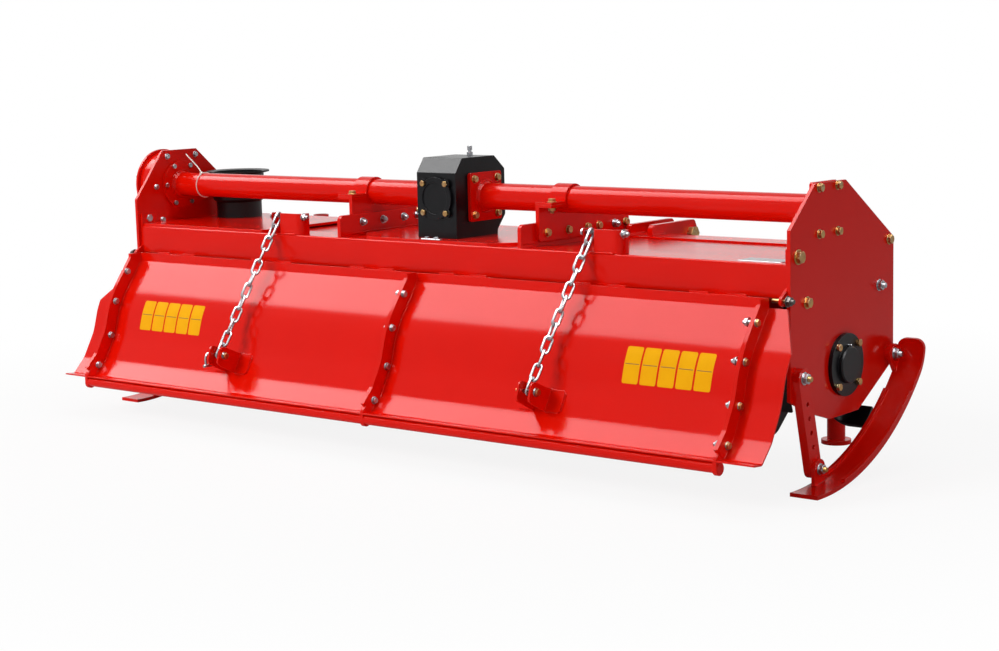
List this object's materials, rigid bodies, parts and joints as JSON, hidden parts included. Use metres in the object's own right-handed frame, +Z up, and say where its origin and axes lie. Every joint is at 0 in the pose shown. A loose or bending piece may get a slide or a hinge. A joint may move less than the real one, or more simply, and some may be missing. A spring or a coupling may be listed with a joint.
{
  "type": "rotary tiller",
  "caption": "Rear-mounted rotary tiller with a driven bladed rotor, hinged rear apron on chains, depth skids and a centre gearbox.",
  "frame": {"origin": "on the ground, in the middle of the machine's length and width", "axes": "+X to the machine's right, +Y the way it is pulled, +Z up"},
  "size_m": [2.557, 0.9504, 0.821],
  "materials": {
    "red_paint": "glossy red enamel",
    "black_paint": "satin black enamel on castings and forged steel",
    "bright_zinc": "bright zinc plate",
    "gold_zinc": "yellow zinc plate",
    "black_plastic": "black moulded plastic"
  },
  "bodies": {
    "frame": {"bearing_cap_right": "black_paint", "bearing_left": "black_paint", "bearing_right": "black_paint", "breather": "bright_zinc", "chain_bracket_upper_left": "red_paint", "chain_bracket_upper_right": "red_paint", "chain_left": "bright_zinc", "chain_right": "bright_zinc", "clamp_strap_left": "red_paint", "clamp_strap_right": "red_paint", "deck_left": "red_paint", "deck_middle": "red_paint", "front_beam": "red_paint", "gear_case": "red_paint", "gear_case_cover": "red_paint", "gearbox_housing": "black_paint", "gearbox_rear_cap": "black_paint", "hinge_fixed": "red_paint", "hitch_clevis_left": "red_paint", "hitch_clevis_right": "red_paint", "hitch_pin_left": "gold_zinc", "hitch_pin_right": "gold_zinc", "hitch_rail_left": "red_paint", "hitch_rail_right": "red_paint", "hood_front": "red_paint", "hood_top": "red_paint", "pto_guard": "black_plastic", "rear_beam": "red_paint", "saddle_plate_left": "red_paint", "saddle_plate_right": "red_paint", "side_plate_left": "red_paint", "side_plate_right": "red_paint", "skid_left": "red_paint", "skid_right": "red_paint", "stand_sleeve_left": "red_paint", "stand_sleeve_right": "red_paint", "strut_left": "red_paint", "strut_right": "red_paint", "tube_left": "red_paint", "tube_right": "red_paint"},
    "rotor": {"rotor_blades": "black_paint", "rotor_shaft": "black_paint"},
    "input": {"input_shaft": "bright_zinc"},
    "apron": {"apron_panel_left": "red_paint", "apron_panel_right": "red_paint", "apron_wing_left": "red_paint", "apron_wing_right": "red_paint", "bottom_rod": "red_paint", "chain_bracket_lower_left": "red_paint", "chain_bracket_lower_right": "red_paint", "hinge_moving": "red_paint"},
    "stand_left": {"stand_leg_left": "red_paint"},
    "stand_right": {"stand_leg_right": "red_paint"}
  },
  "joints": [
    {"name": "rotor_spin", "type": "hinge", "parent": "frame", "child": "rotor", "pos_m": [0, 0.047, 0.286], "axis": [1, 0, 0], "continuous": true},
    {"name": "input_spin", "type": "hinge", "parent": "frame", "child": "input", "pos_m": [0.013, 0.065, 0.684], "axis": [0, 1, 0], "continuous": true},
    {"name": "apron_lift", "type": "hinge", "parent": "frame", "child": "apron", "pos_m": [0, -0.225, 0.477], "axis": [-1, 0, 0], "range_deg": [0, 60], "deforming": ["chain_left", "chain_right"]},
    {"name": "stand_left_slide", "type": "slide", "parent": "frame", "child": "stand_left", "axis": [0, 0, 1], "range_m": [0, 0.2]},
    {"name": "stand_right_slide", "type": "slide", "parent": "frame", "child": "stand_right", "axis": [0, 0, 1], "range_m": [0, 0.2]}
  ],
  "couplings": [
    {"joint": "input_spin", "follows": "rotor_spin", "ratio": 2.45}
  ]
}
